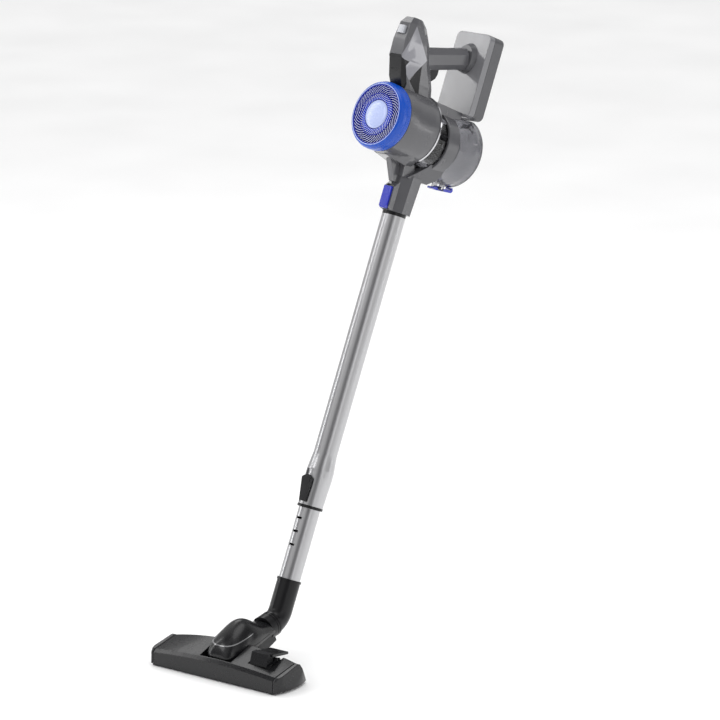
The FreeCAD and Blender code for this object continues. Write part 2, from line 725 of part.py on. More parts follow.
def window_outline(grow):
    return [(-5.4 - grow, 870.5 + grow), (5.4 + grow, 870.5 + grow), (6.4 + grow, 858.5 - grow),
            (-6.4 - grow, 858.5 - grow)]


def vent_insert():
    """The dark insert low on the spine's front, with cooling slots."""
    outline = arch_outline(14.9, 785.5, 827.7)
    insert = front_prism(outline, -100, -66).common(spine_solid(0.5))
    insert = insert.cut(housing_envelope(0.3))
    for z in (795.0, 800.5, 806.0):
        insert = insert.cut(block(-6.5, 6.5, -95, -79.5, z, z + 2.2))
    return largest(insert)


def mode_button():
    """The power-level button high on the spine's front."""
    cap = front_prism(window_outline(0.0), -91.2, -84.0)
    return cap


def control_board():
    return block(-9.5, 9.5, -62, -60.4, 800, 858)


def handle_section(distance, half_height, half_width):
    tilt = math.radians(handle_tilt)
    centre = V(0, -34 + distance * math.cos(tilt), 835.5 + distance * math.sin(tilt))
    up = V(0, -math.sin(tilt), math.cos(tilt))
    outline = [(half_width, half_height * 0.45), (half_width * 0.62, half_height),
               (-half_width * 0.62, half_height), (-half_width, half_height * 0.45),
               (-half_width, -half_height * 0.5), (-half_width * 0.6, -half_height),
               (half_width * 0.6, -half_height), (half_width, -half_height * 0.5)]
    return [centre + up * h + X_AXIS * w for w, h in outline]


def handle_solid(grow):
    """The outside of the handle, grown a little where another piece is cut to fit it."""
    rows = [(2.0, 15.6, 12.6), (30.0, 15.6, 12.8), (60.0, 15.2, 12.6), (84.0, 15.6, 13.0)]
    return loft([handle_section(d, h + grow, w + grow) for d, h, w in rows])


def handle_grip():
    hollow = loft([handle_section(d, h - 2.4, w - 2.4)
                   for d, h, w in ((-2.0, 15.6, 12.6), (30.0, 15.6, 12.8), (60.0, 15.2, 12.6),
                                   (80.0, 15.6, 13.0))])
    return handle_solid(0.0).cut(hollow).cut(trigger_slot()).cut(trigger_pin())


def dock_flange():
    """The oval flange at the handle's end that the battery plugs onto."""
    centre = V(0, 57.2, 862.5)
    oval = Part.Wire(Part.Ellipse(centre, 23.0, 18.0).toShape())
    oval.rotate(centre, X_AXIS, 90)
    oval.rotate(centre, Y_AXIS, 90)
    small = Part.Wire(Part.Ellipse(V(0, 49.0, 860.5), 20.0, 15.5).toShape())
    small.rotate(V(0, 49.0, 860.5), X_AXIS, 90)
    small.rotate(V(0, 49.0, 860.5), Y_AXIS, 90)
    flange = Part.makeLoft([small, oval], True, True)
    tongue = block(-9, 9, 57.0, 64.0, 853, 873)
    return flange.fuse(tongue).cut(handle_solid(0.02)).removeSplitter()


def dock_contacts():
    return Part.makeCompound([block(x - 0.6, x + 0.6, 64.0, 69.0, 857, 869) for x in (-5.0, 0.0, 5.0)])


def battery_shelf():
    """The ledge over the cup that steadies the battery's lower end."""
    ledge = side_prism([(-5.4, 782.5), (-5.4, 764), (57.2, 764), (57.2, 781.0)], -21, 21)
    ledge = ledge.cut(rod(cradle_radius + 0.05, V(0, -20, cup_z), Y_AXIS, 100))
    return largest(ledge.cut(turned([(44, 0), (44, 47.4), (59, 50.4), (59, 0)], cup_z)))


def trigger_slot():
    return side_prism([(-34, 800), (-34, 833), (4.0, 833), (4.0, 800)], -6.2, 6.2)


def trigger():
    """The power trigger under the handle, close behind the spine."""
    outline = [(-26, 831), (0.6, 831), (1.0, 822), (-1.6, 815), (-7.0, 810.0), (-14, 807.5), (-20, 809),
               (-25, 815)]
    body = side_prism(outline, -5.8, 5.8)
    return body.cut(rod(1.5 + fit_gap, V(-10, -20, 826), X_AXIS, 20))


def trigger_pin():
    return rod(1.5, V(-8.6, -20, 826), X_AXIS, 17.2)


def release_pin():
    return rod(1.25, V(-10.2, -23.5, 632), X_AXIS, 20.4)


def hand_pins():
    """The trigger's pin and the release button's pin."""
    return Part.makeCompound([trigger_pin(), release_pin()])


# ---- battery ----------------------------------------------------------------------------
def battery_block(y0, y1, inset):
    half = battery_width / 2 - inset
    z0 = battery_foot + inset
    z1 = battery_foot + battery_height - inset
    body = block(-half, half, y0, y1, z0, z1)
    return rounded(body, 9.0 - inset, along(Y_AXIS))


battery_rear = battery_front + battery_depth
battery_seam = battery_front + 11.0


def battery_case():
    shell = battery_block(battery_front, battery_seam, 0.0)
    shell = shell.cut(battery_block(battery_front + 1.6, battery_seam + 1, 1.5))
    return shell.cut(block(-9.3, 9.3, 50, 64, 852.7, 873.3))


def battery_cover():
    shell = battery_block(battery_seam + 0.05, battery_rear, 0.0)
    shell = rounded(shell, 3.0, lambda edge: edge.BoundBox.YMin > battery_rear - 0.01)
    shell = shell.cut(battery_block(battery_seam - 1, battery_rear - 1.6, 1.5))
    shell = shell.cut(block(-6.3, 6.3, 73.7, 82.3, 880, 910))
    return shell


def battery_cells():
    cells = []
    for i in range(6):
        cells.append(rod(9.0, V(-32.5, 78.0, battery_foot + 15.5 + i * 18.2), X_AXIS, 65))
    return Part.makeCompound(cells)


def battery_button():
    """The battery's release button, standing just proud of its top."""
    return block(-6, 6, 74, 82, 895.0, 903.4)


# ---- dust cup ---------------------------------------------------------------------------
def cup_shell():
    """The clear dust cup: a small drum that flares to a wide rim, with hinge ears and latch lugs."""
    wall = [(cup_front, cup_small_radius), (47, cup_small_radius), (58, cup_small_radius + 3.0),
            (70, cup_large_radius - 1.4), (76, cup_large_radius), (83, cup_large_radius),
            (83.5, cup_large_radius + 0.5), (cup_rear, cup_large_radius + 0.5)]
    inner = [(y, r - 2.0) for y, r in wall[:6]] + [(cup_rear, cup_large_radius - 2.0)]
    outer_solid = flat_topped(turned([(cup_front, 0)] + wall + [(cup_rear, 0)], cup_z), cup_flat)
    inner_solid = flat_topped(turned([(cup_front, 0)] + inner + [(cup_rear, 0)], cup_z), cup_flat - 2.0)
    shell = outer_solid.cut(inner_solid)
    ear = side_prism([(84.0, 773.0), (84.0, 776.0), (97.0, 776.2), (97.0, 773.0)], 8.4, 11.4)
    lug = side_prism([(66, 680.5), (66, 665.5), (76, 665.5), (76, 676.5)], 6.6, 8.6)
    whole = fused([shell] + both_sides(ear) + both_sides(lug))
    whole = whole.cut(rod(1.0, V(-20, 94.6, 774.6), X_AXIS, 40))
    whole = whole.cut(rod(1.4, V(-20, 71, 668.5), X_AXIS, 40))
    return whole.cut(block(-15, 15, 25.5, 40.5, 670, 700))


def flat_topped(solid, top):
    return solid.cut(block(-80, 80, -200, 200, top, top + 100))


def cup_door():
    """The cup's end door, with a shallow dome and a hinge knuckle."""
    rear = cup_rear + 0.3 + door_thickness
    disc = turned([(cup_rear + 0.3, 0), (cup_rear + 0.3, 50.3), (rear - 1.4, 50.3), (rear, 48.2),
                   (rear, 41.5), (rear - 1.8, 39.0), (rear - 1.8, 0)], cup_z)
    disc = flat_topped(disc, 772.4)
    knuckle = side_prism([(87.6, 764), (rear, 764), (97.0, 771.4), (97.0, 775.6), (96.0, 776.2),
                          (92.8, 776.2), (91.6, 772.2), (87.6, 770)], -8.0, 8.0)
    door = disc.fuse(knuckle).removeSplitter()
    return door.cut(rod(1.0 + fit_gap, V(-20, 94.6, 774.6), X_AXIS, 40))


def cup_pins():
    """The door's pin and the latch lever's pin."""
    return Part.makeCompound([rod(1.0, V(-11.6, 94.6, 774.6), X_AXIS, 23.2),
                              rod(1.4, V(-8.8, 71, 668.5), X_AXIS, 17.6)])


def latch_lever():
    """The blue lever that frees the cup's door."""
    outline = [(56.5, 664.4), (62, 663.6), (94.5, 667.2), (97.5, 669.6), (97.5, 672.5), (96.0, 675.0),
               (94.0, 674.6), (94.0, 671.2), (62, 667.6), (56.5, 667.4)]
    lever = side_prism(outline, -6.2, 6.2)
    hub = rod(2.8, V(-6.2, 71, 668.5), X_AXIS, 12.4)
    return lever.fuse(hub).removeSplitter().cut(rod(1.4 + fit_gap, V(-10, 71, 668.5), X_AXIS, 20))


def cyclone_shroud():
    """The ribbed cyclone shroud, with the plate that closes the cup's front."""
    plate = turned([(-4.4, 20), (-4.4, 40.9), (-2.0, 40.9), (-2.0, 20)], cup_z)
    drum = turned([(-2.0, 24.5), (-2.0, 27.0), (46, 27.0), (54, 35), (57, 35), (57, 33.2), (48.5, 24.5)],
                  cup_z)
    whole = plate.fuse(drum)
    window = block(-1.8, 1.8, 3, 42, cup_z + 22, cup_z + 30)
    for copy in ring_copies(window, 20, V(0, 0, cup_z), Y_AXIS):
        whole = whole.cut(copy)
    return whole.removeSplitter()


def cyclone_cone():
    return turned([(30.0, 9.0), (30.0, 24.4), (32.0, 24.4), (48, 21.5), (80, 10.5), (80, 9.0), (48, 19.5),
                   (33, 21.5), (33, 9.0)], cup_z)


# ---- every node, its maker and its frame ------------------------------------------------
head_nodes = {
    "head_cover": head_cover,
    "end_caps": end_caps,
    "edge_bands": edge_bands,
    "head_base": head_base,
    "sole_plate": sole_plate,
    "rear_wheels": rear_wheels,
    "front_rollers": front_rollers,
    "wheel_axles": wheel_axles,
    "brush_carrier": brush_carrier,
    "brush_bristles": brush_bristles,
    "pedal": pedal,
    "pedal_bracket": pedal_bracket,
    "head_pins": head_pins,
    "head_screws": head_screws,
    "neck_body": neck_body,
    "neck_shield": neck_shield,
    "swivel_collar": swivel_collar,
    "elbow_pipe": elbow_pipe,
}

wand_nodes = {
    "lower_tube": lower_tube,
    "upper_tube": upper_tube,
    "tube_collar": tube_collar,
    "sleeve": sleeve,
    "sleeve_ring": sleeve_ring,
    "slide_button": slide_button,
    "wand_socket": wand_socket,
    "release_button": release_button,
    "motor_housing": motor_housing,
    "flange_ring": flange_ring,
    "filter_ring": filter_ring,
    "exhaust_grille": exhaust_grille,
    "grille_hub": grille_hub,
    "outlet_filter": outlet_filter,
    "motor_can": motor_can,
    "motor_stator": motor_stator,
    "motor_bearings": motor_bearings,
    "motor_rotor": motor_rotor,
    "fan_wheel": fan_wheel,
    "motor_mounts": motor_mounts,
    "inlet_filter": inlet_filter,
    "spine_housing": spine_housing,
    "vent_insert": vent_insert,
    "mode_button": mode_button,
    "control_board": control_board,
    "handle_grip": handle_grip,
    "dock_flange": dock_flange,
    "dock_contacts": dock_contacts,
    "battery_shelf": battery_shelf,
    "trigger": trigger,
    "hand_pins": hand_pins,
    "battery_case": battery_case,
    "battery_cover": battery_cover,
    "battery_cells": battery_cells,
    "battery_button": battery_button,
    "cup_shell": cup_shell,
    "cup_door": cup_door,
    "cup_pins": cup_pins,
    "latch_lever": latch_lever,
    "cyclone_shroud": cyclone_shroud,
    "cyclone_cone": cyclone_cone,
}

os.makedirs("parts", exist_ok=True)
for name, make in head_nodes.items():
    make().exportStep(f"parts/{name}.step")
for name, make in wand_nodes.items():
    in_wand(make()).exportStep(f"parts/{name}.step")
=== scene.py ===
import json
import math

import bmesh
import bpy
from mathutils import Matrix, Vector


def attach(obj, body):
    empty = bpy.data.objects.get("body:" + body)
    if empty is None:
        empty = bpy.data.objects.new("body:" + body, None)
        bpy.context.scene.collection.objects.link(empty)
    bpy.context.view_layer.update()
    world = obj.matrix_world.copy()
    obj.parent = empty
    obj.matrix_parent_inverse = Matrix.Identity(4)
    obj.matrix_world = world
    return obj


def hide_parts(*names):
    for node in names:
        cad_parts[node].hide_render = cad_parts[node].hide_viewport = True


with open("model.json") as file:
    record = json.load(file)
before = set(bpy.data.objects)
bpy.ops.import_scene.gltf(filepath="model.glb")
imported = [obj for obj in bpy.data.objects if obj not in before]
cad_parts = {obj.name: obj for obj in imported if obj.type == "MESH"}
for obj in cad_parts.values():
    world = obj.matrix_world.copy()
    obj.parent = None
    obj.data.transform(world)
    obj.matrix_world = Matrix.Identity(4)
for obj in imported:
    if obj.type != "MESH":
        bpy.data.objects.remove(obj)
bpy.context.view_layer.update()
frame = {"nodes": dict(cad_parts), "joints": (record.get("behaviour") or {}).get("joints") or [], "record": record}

# Cordless stick vacuum: the looks. Metres, in the CAD's row frame. Pieces of the wand and the hand unit
# are drawn in the wand frame: x lateral, y rearward, z up the tube, from the elbow's centre.

MM = 0.001
JOINTS = {joint["name"]: joint for joint in frame["joints"]}
ELBOW = Vector(JOINTS["neck_swivel"]["pos_m"])
BACK = Vector(JOINTS["cup_slide"]["axis"]).normalized()
UP_TUBE = -Vector(JOINTS["wand_pull"]["axis"]).normalized()
SIDE = BACK.cross(UP_TUBE).normalized()
WAND = Matrix((SIDE, BACK, UP_TUBE)).transposed().to_4x4()
WAND.translation = ELBOW
ROW = Matrix.Identity(4)
BODIES = frame["record"]["behaviour"]["bodies"]
BODY_OF = {node: body for body, members in BODIES.items() for node in members}
SLOT_OF = {part["node"]: part["material_slot"] for part in frame["record"]["subparts"]}

# ---- sizes in the wand frame, in millimetres ---------------------------------------------
MOTOR_Z = 736.0
GRILLE_RADIUS = 43.6
GRILLE_STEP = 31.0
HUB_RADIUS = 21.0
GRILLE_SEAT = 22.0
RIM_RADIUS = 45.0
INNER_FRONT = -91.6
OUTER_FRONT = -91.1
INNER_SWIRL = 0.22
OUTER_SWIRL = 0.42
BLADES = 46
BLADE_STEPS = 7
BLADE_RISE = 0.35
SWEEP_POWER = 1.3
INNER_THICKNESS = 0.95
OUTER_THICKNESS = 1.30
ON_AXIS = 0.01
FLANK_LEAN = 0.6
FLANK_X = 11.0

# ---- the neck's cover in the row frame, in millimetres --------------------------------------
SHIELD_MIDDLE = (25, 38)
SHIELD_SQUASH = 0.35
SHIELD_LOWEST = 28
SHIELD_REAR = 83
SHIELD_UNDERSIDE = -0.4

# ---- how edges and surfaces are finished ----------------------------------------------------
SMOOTH_ANGLE = 32.0
FLAT_ANGLE = 0.6
WELD_NODE = 0.000002
WELD_PIECE = 0.000001
NODE_SMOOTH_ANGLE = 30.0
ROUND_PROFILE = 0.6
STREAK_LENGTH = 90.0
STREAK_SCALE = 900.0

# ---- camera and stage, in metres ------------------------------------------------------------
EYE = (3.1200, -3.8126, 1.6629)
AIM = (0.04542, 0.2500, 0.41781)
LENS_MM = 181.77
SENSOR_MM = 36.0
CLIP_END = 60.0
LIGHT_AIM = (0.05, 0.25, 0.45)
FLOOR_RADIUS = 14.0
FLOOR_DROP = 0.0004
WHITE_STRENGTH = 1.06
ROOM_STRENGTH = 0.62
ROOM_BANDS = 4.0
ROOM_TURN = 0.9


# ---- materials ----------------------------------------------------------------------------
def add(tree, kind, **inputs):
    """Add a shader node and set its sockets by name."""
    node = tree.nodes.new(kind)
    for name, value in inputs.items():
        node.inputs[name.replace("_", " ")].default_value = value
    return node


def start_material(name):
    material = bpy.data.materials.new(name)
    material.use_nodes = True
    tree = material.node_tree
    shader = tree.nodes["Principled BSDF"]
    place = tree.nodes.new("ShaderNodeTexCoord")
    return material, tree, shader, place.outputs["Object"]


def along_wand(tree, vector, squeeze):
    """Object coordinates turned into the wand frame, with each axis divided by squeeze."""
    mapping = tree.nodes.new("ShaderNodeMapping")
    mapping.vector_type = "TEXTURE"
    mapping.inputs["Rotation"].default_value = WAND.to_euler()
    mapping.inputs["Location"].default_value = ELBOW
    mapping.inputs["Scale"].default_value = squeeze
    tree.links.new(vector, mapping.inputs["Vector"])
    return mapping.outputs["Vector"]


def noise(tree, vector, scale, detail=3.0, roughness=0.5):
    node = add(tree, "ShaderNodeTexNoise", Scale=scale, Detail=detail, Roughness=roughness)
    tree.links.new(vector, node.inputs["Vector"])
    return node.outputs["Fac"]


def colour_between(tree, factor, dark, light, low=0.3, high=0.7):
    ramp = tree.nodes.new("ShaderNodeValToRGB")
    ramp.color_ramp.elements[0].position = low
    ramp.color_ramp.elements[1].position = high
    ramp.color_ramp.elements[0].color = (*dark, 1)
    ramp.color_ramp.elements[1].color = (*light, 1)
    tree.links.new(factor, ramp.inputs["Fac"])
    return ramp.outputs["Color"]


def value_between(tree, factor, low, high):
    spread = tree.nodes.new("ShaderNodeMapRange")
    spread.inputs["From Min"].default_value = 0.3
    spread.inputs["From Max"].default_value = 0.7
    spread.inputs["To Min"].default_value = low
    spread.inputs["To Max"].default_value = high
    tree.links.new(factor, spread.inputs["Value"])
    return spread.outputs["Result"]


def bump(tree, shader, height, strength, distance):
    node = add(tree, "ShaderNodeBump", Strength=strength, Distance=distance)
    tree.links.new(height, node.inputs["Height"])
    tree.links.new(node.outputs["Normal"], shader.inputs["Normal"])


def shade(colour, amount):
    return tuple(min(1.0, c * amount) for c in colour)


def moulded(name, colour, rough, grain=700.0, depth=0.00002, strength=0.02, spread=0.04, coat=0.0,
            specular=0.5):
    """Injection-moulded plastic: a fine spark-eroded grain, faint flow marks and uneven gloss."""
    material, tree, shader, place = start_material(name)
    flow = noise(tree, place, 22.0, 4.0, 0.6)
    tint = colour_between(tree, flow, shade(colour, 1 - spread), shade(colour, 1 + spread))
    tree.links.new(tint, shader.inputs["Base Color"])
    gloss = noise(tree, place, 60.0, 3.0, 0.5)
    tree.links.new(value_between(tree, gloss, *rough), shader.inputs["Roughness"])
    bump(tree, shader, noise(tree, place, grain, 2.0, 0.5), strength, depth)
    shader.inputs["Specular IOR Level"].default_value = specular
    shader.inputs["Coat Weight"].default_value = coat
    shader.inputs["Coat Roughness"].default_value = 0.08
    return material


def polished_metal(name, colour, rough):
    """Drawn and plated metal: fine streaks along the tube."""
    material, tree, shader, place = start_material(name)
    drawn = along_wand(tree, place, (1.0, 1.0, STREAK_LENGTH))
    lines = noise(tree, drawn, STREAK_SCALE, 3.0, 0.6)
    wear = noise(tree, drawn, 60.0, 3.0, 0.6)
    tint = colour_between(tree, wear, shade(colour, 0.93), shade(colour, 1.03))
    tree.links.new(tint, shader.inputs["Base Color"])
    tree.links.new(value_between(tree, lines, *rough), shader.inputs["Roughness"])
    bump(tree, shader, lines, 0.06, 0.00002)
    shader.inputs["Metallic"].default_value = 1.0
    return material


def clear_plastic(name, colour):
    """Smoke-tinted clear plastic with faint scuffs."""
    material, tree, shader, place = start_material(name)
    haze = noise(tree, place, 45.0, 6.0, 0.7)
    tint = colour_between(tree, haze, shade(colour, 0.96), shade(colour, 1.02))
    tree.links.new(tint, shader.inputs["Base Color"])
    tree.links.new(value_between(tree, haze, 0.02, 0.06), shader.inputs["Roughness"])
    bump(tree, shader, noise(tree, place, 260.0, 3.0, 0.5), 0.03, 0.00003)
    shader.inputs["Transmission Weight"].default_value = 1.0
    shader.inputs["IOR"].default_value = 1.2
    shader.inputs["Coat Weight"].default_value = 0.6
    shader.inputs["Coat Roughness"].default_value = 0.03
    return material


def fibrous(name, colour, scale):
    """Pile, bristle or filter paper: fibres with a soft sheen."""
    material, tree, shader, place = start_material(name)
    strand = noise(tree, place, scale, 4.0, 0.7)
    tint = colour_between(tree, strand, shade(colour, 0.6), shade(colour, 1.2))
    tree.links.new(tint, shader.inputs["Base Color"])
    tree.links.new(value_between(tree, strand, 0.75, 0.95), shader.inputs["Roughness"])
    bump(tree, shader, strand, 0.7, 0.0004)
    shader.inputs["Sheen Weight"].default_value = 0.3
    return material


def pale_floor(name):
    material, tree, shader, place = start_material(name)
    tone = noise(tree, place, 3.0, 3.0, 0.5)
    tint = colour_between(tree, tone, (0.945, 0.945, 0.945), (0.95, 0.95, 0.95))
    tree.links.new(tint, shader.inputs["Base Color"])
    tree.links.new(value_between(tree, tone, 0.45, 0.55), shader.inputs["Roughness"])
    shader.inputs["Specular IOR Level"].default_value = 0.25
    return material


MATERIALS = {
    "charcoal_satin": moulded("charcoal_satin", (0.006, 0.006, 0.007), (0.25, 0.29), coat=0.12,
                              specular=0.4),
    "black_plastic": moulded("black_plastic", (0.005, 0.005, 0.006), (0.26, 0.34), specular=0.35),
    "grey_satin": moulded("grey_satin", (0.085, 0.085, 0.092), (0.20, 0.28), coat=0.35),
    # pale strips on the grille blades' front edges: painted glints
    "blade_painted_glint": moulded("blade_painted_glint", (0.72, 0.75, 0.92), (0.20, 0.28), spread=0.02),
    "step_blue": moulded("step_blue", (0.004, 0.050, 0.60), (0.4, 0.5), specular=0.2),
    # near-black navy for the disc behind the outer grille blades: painted shade in the gaps
    "navy_gap_shade": moulded("navy_gap_shade", (0.006, 0.010, 0.22), (0.5, 0.6), specular=0.15),
    # lighter grey for the neck cover's ridge: a painted highlight line
    "ridge_painted_highlight": moulded("ridge_painted_highlight", (0.16, 0.16, 0.165), (0.12, 0.20), coat=0.8),
    # paler grey for the diamond facets on the spine's flanks: a painted sheen where a facet catches the light
    "facet_painted_sheen": moulded("facet_painted_sheen", (0.22, 0.22, 0.24), (0.10, 0.15), coat=0.5),
    "pale_grey": moulded("pale_grey", (0.42, 0.43, 0.46), (0.10, 0.18), coat=0.4),
    "blue_ring": moulded("blue_ring", (0.0, 0.060, 0.42), (0.24, 0.30), spread=0.03),
    "navy_grille": moulded("navy_grille", (0.008, 0.018, 0.30), (0.3, 0.4), specular=0.2),
    "periwinkle": moulded("periwinkle", (0.42, 0.49, 0.76), (0.20, 0.30), coat=0.4, spread=0.03),
    "blue_button": moulded("blue_button", (0.018, 0.030, 0.42), (0.16, 0.26), coat=0.5, spread=0.04),
    "bright_trim": polished_metal("bright_trim", (0.62, 0.62, 0.64), (0.10, 0.16)),
    "chrome_tube": polished_metal("chrome_tube", (0.52, 0.52, 0.53), (0.28, 0.33)),
    "sole_steel": polished_metal("sole_steel", (0.60, 0.60, 0.62), (0.22, 0.34)),
    "steel_pin": polished_metal("steel_pin", (0.56, 0.56, 0.58), (0.20, 0.30)),
    "soft_rubber": moulded("soft_rubber", (0.050, 0.050, 0.052), (0.45, 0.55), 800.0, 0.00006, 0.1),
    "bristle": fibrous("bristle", (0.03, 0.03, 0.035), 1600.0),
    "clear_cup": clear_plastic("clear_cup", (0.46, 0.46, 0.48)),
    "cyclone_grey": moulded("cyclone_grey", (0.045, 0.046, 0.052), (0.20, 0.30), coat=0.4),
    "filter_white": fibrous("filter_white", (0.72, 0.72, 0.70), 700.0),
    "filter_navy": fibrous("filter_navy", (0.006, 0.010, 0.085), 800.0),
    "motor_metal": polished_metal("motor_metal", (0.62, 0.62, 0.64), (0.28, 0.40)),
    "iron_core": polished_metal("iron_core", (0.25, 0.25, 0.27), (0.40, 0.55)),
    "fan_grey": moulded("fan_grey", (0.25, 0.26, 0.28), (0.25, 0.35)),
    "board_green": moulded("board_green", (0.01, 0.09, 0.03), (0.30, 0.40)),
    "contact_brass": polished_metal("contact_brass", (0.80, 0.58, 0.22), (0.16, 0.26)),
    "cell_wrap": moulded("cell_wrap", (0.03, 0.18, 0.15), (0.20, 0.30), coat=0.4),
    "battery_front_grey": moulded("battery_front_grey", (0.16, 0.16, 0.17), (0.10, 0.18), coat=0.7),
    "battery_rear_grey": moulded("battery_rear_grey", (0.080, 0.080, 0.086), (0.28, 0.36)),
}


# ---- mesh helpers -------------------------------------------------------------------------
def wand_point(x, y, z):
    """A point given in the wand frame in millimetres, in the row frame in metres."""
    return WAND @ Vector((x * MM, y * MM, z * MM))


def make_object(name, mesh_maker, material, body, replaced=()):
    """Turn a bmesh into a finished piece that rides on a body."""
    mesh = bpy.data.meshes.new(name)
    bmesh.ops.recalc_face_normals(mesh_maker, faces=mesh_maker.faces)
    mesh_maker.to_mesh(mesh)
    mesh_maker.free()
    mesh.polygons.foreach_set("use_smooth", [True] * len(mesh.polygons))
    mesh.set_sharp_from_angle(angle=math.radians(SMOOTH_ANGLE))
    piece = bpy.data.objects.new(name, mesh)
    bpy.context.collection.objects.link(piece)
    mesh.materials.append(material)
    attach(piece, body)
    if replaced:
        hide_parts(*replaced)
    return piece


def weighted(piece):
    """Let the large faces steer the shading of the small rounds beside them."""
    modifier = piece.modifiers.new("weighted", "WEIGHTED_NORMAL")
    modifier.keep_sharp = True


def welded_copy(node):
    """The CAD node's mesh with its triangles welded and its flat faces joined up."""
    made = bmesh.new()
    made.from_mesh(frame["nodes"][node].data)
    bmesh.ops.remove_doubles(made, verts=made.verts, dist=WELD_NODE)
    bmesh.ops.dissolve_limit(made, angle_limit=math.radians(FLAT_ANGLE), verts=made.verts, edges=made.edges)
    return made


def sharp_edges(made, angle):
    limit = math.radians(angle)
    return [edge for edge in made.edges if len(edge.link_faces) == 2 and edge.calc_face_angle(0.0) > limit]


def soften(node, width, angle=30.0, segments=2):
    """Stand in for a CAD node with the same shape, its edges rounded by width in millimetres."""
    made = welded_copy(node)
    edges = sharp_edges(made, angle)
    bmesh.ops.bevel(made, geom=edges, offset=width * MM, segments=segments, profile=ROUND_PROFILE,
                    affect="EDGES", clamp_overlap=True, harden_normals=False)
    slot = SLOT_OF[node]
    weighted(make_object(node + "_skin", made, MATERIALS[slot], BODY_OF[node], [node]))


def patch(name, node, planes, keep, lift, material, base=WAND):
    """A thin raised skin over part of a node: the faces keep(centre, normal) accepts, inside the planes.

    Each plane is a point on it in millimetres and its outward side, in the frame called base."""
    made = welded_copy(node)
    turn = base.to_3x3()
    back = base.inverted()
    unwanted = [face for face in made.faces
                if not keep((back @ face.calc_center_median()) / MM, turn.inverted() @ face.normal)]
    bmesh.ops.delete(made, geom=unwanted, context="FACES")
    for point, outward in planes:
        every = made.verts[:] + made.edges[:] + made.faces[:]
        bmesh.ops.bisect_plane(made, geom=every, dist=WELD_PIECE, clear_outer=True,
                               plane_co=base @ (Vector(point) * MM), plane_no=turn @ Vector(outward))
    bmesh.ops.solidify(made, geom=made.faces[:], thickness=-lift * MM)
    make_object(name, made, material, BODY_OF[node])


def turned(made, profile, centre_z, count=128, ripple=None):
    """Turn a closed (y, radius) profile about the line along y at centre_z, in the wand frame."""
    rings = []
    for i in range(count):
        angle = 2 * math.pi * i / count
        ring = []
        for k, (y, radius) in enumerate(profile):
            grown = radius + (ripple(i, k) if ripple else 0.0)
            point = wand_point(grown * math.sin(angle), y, centre_z + grown * math.cos(angle))
            ring.append(made.verts.new(point))
        rings.append(ring)
    for i in range(count):
        here, there = rings[i], rings[(i + 1) % count]
        for k in range(len(profile)):
            m = (k + 1) % len(profile)
            if profile[k][1] < ON_AXIS and profile[m][1] < ON_AXIS:
                continue
            made.faces.new((here[k], here[m], there[m], there[k]))
    bmesh.ops.remove_doubles(made, verts=made.verts, dist=WELD_PIECE)


def round_profile(points, radius, steps=4):
    """Round the corners of a closed outline by cutting each with a short curve."""
    result = []
    count = len(points)
    for i, (y, r) in enumerate(points):
        before, after = points[i - 1], points[(i + 1) % count]
        if r < ON_AXIS:
            result.append((y, r))
            continue
        start = toward((y, r), before, radius)
        end = toward((y, r), after, radius)
        for k in range(steps + 1):
            t = k / steps
            result.append(tuple((1 - t) ** 2 * a + 2 * t * (1 - t) * b + t * t * c
                                for a, b, c in zip(start, (y, r), end)))
    return result


def toward(here, there, distance):
    gap = math.hypot(there[0] - here[0], there[1] - here[1])
    share = min(distance / gap, 0.45)
    return (here[0] + (there[0] - here[0]) * share, here[1] + (there[1] - here[1]) * share)


def closed_strip(made, sections):
    """Skin a row of four-cornered sections and close both ends."""
    rows = [[made.verts.new(point) for point in section] for section in sections]
    size = len(rows[0])
    for here, there in zip(rows, rows[1:]):
        for k in range(size):
            m = (k + 1) % size
            made.faces.new((here[k], here[m], there[m], there[k]))
    made.faces.new(rows[0])
    made.faces.new(list(reversed(rows[-1])))


# ---- hand unit: exhaust grille and filter ring --------------------------------------------
BLADE_SECTION = ((-0.45, 0.0), (0.45, 0.0), (1.35, 2.6), (0.45, 2.6))
# the section of the pale strip along each blade's front edge, a painted glint
GLINT_SECTION = ((-0.50, -0.06), (0.05, -0.06), (0.05, 0.30), (-0.50, 0.30))


def grille_blade(made, turn, inner, outer, front, swirl, thickness, outline=BLADE_SECTION):
    """One swept blade between two radii, or the pale strip along its front edge that paints a glint."""
    sections = []
    for k in range(BLADE_STEPS + 1):
        t = k / BLADE_STEPS
        radius = inner + (outer - inner) * t
        angle = turn + swirl * t ** SWEEP_POWER
        rise = BLADE_RISE * math.sin(math.pi * t)
        half = thickness * (0.36 + 0.30 * t)
        across = Vector((math.cos(angle), 0, -math.sin(angle)))
        out = Vector((math.sin(angle), 0, math.cos(angle)))
        centre = Vector((0, 0, MOTOR_Z)) + out * radius
        section = []
        for side, depth in outline:
            point = centre + across * (half * 2 * side)
            y = front - rise + depth
            section.append(wand_point(point.x, y, point.z))
        sections.append(section)
    closed_strip(made, sections)


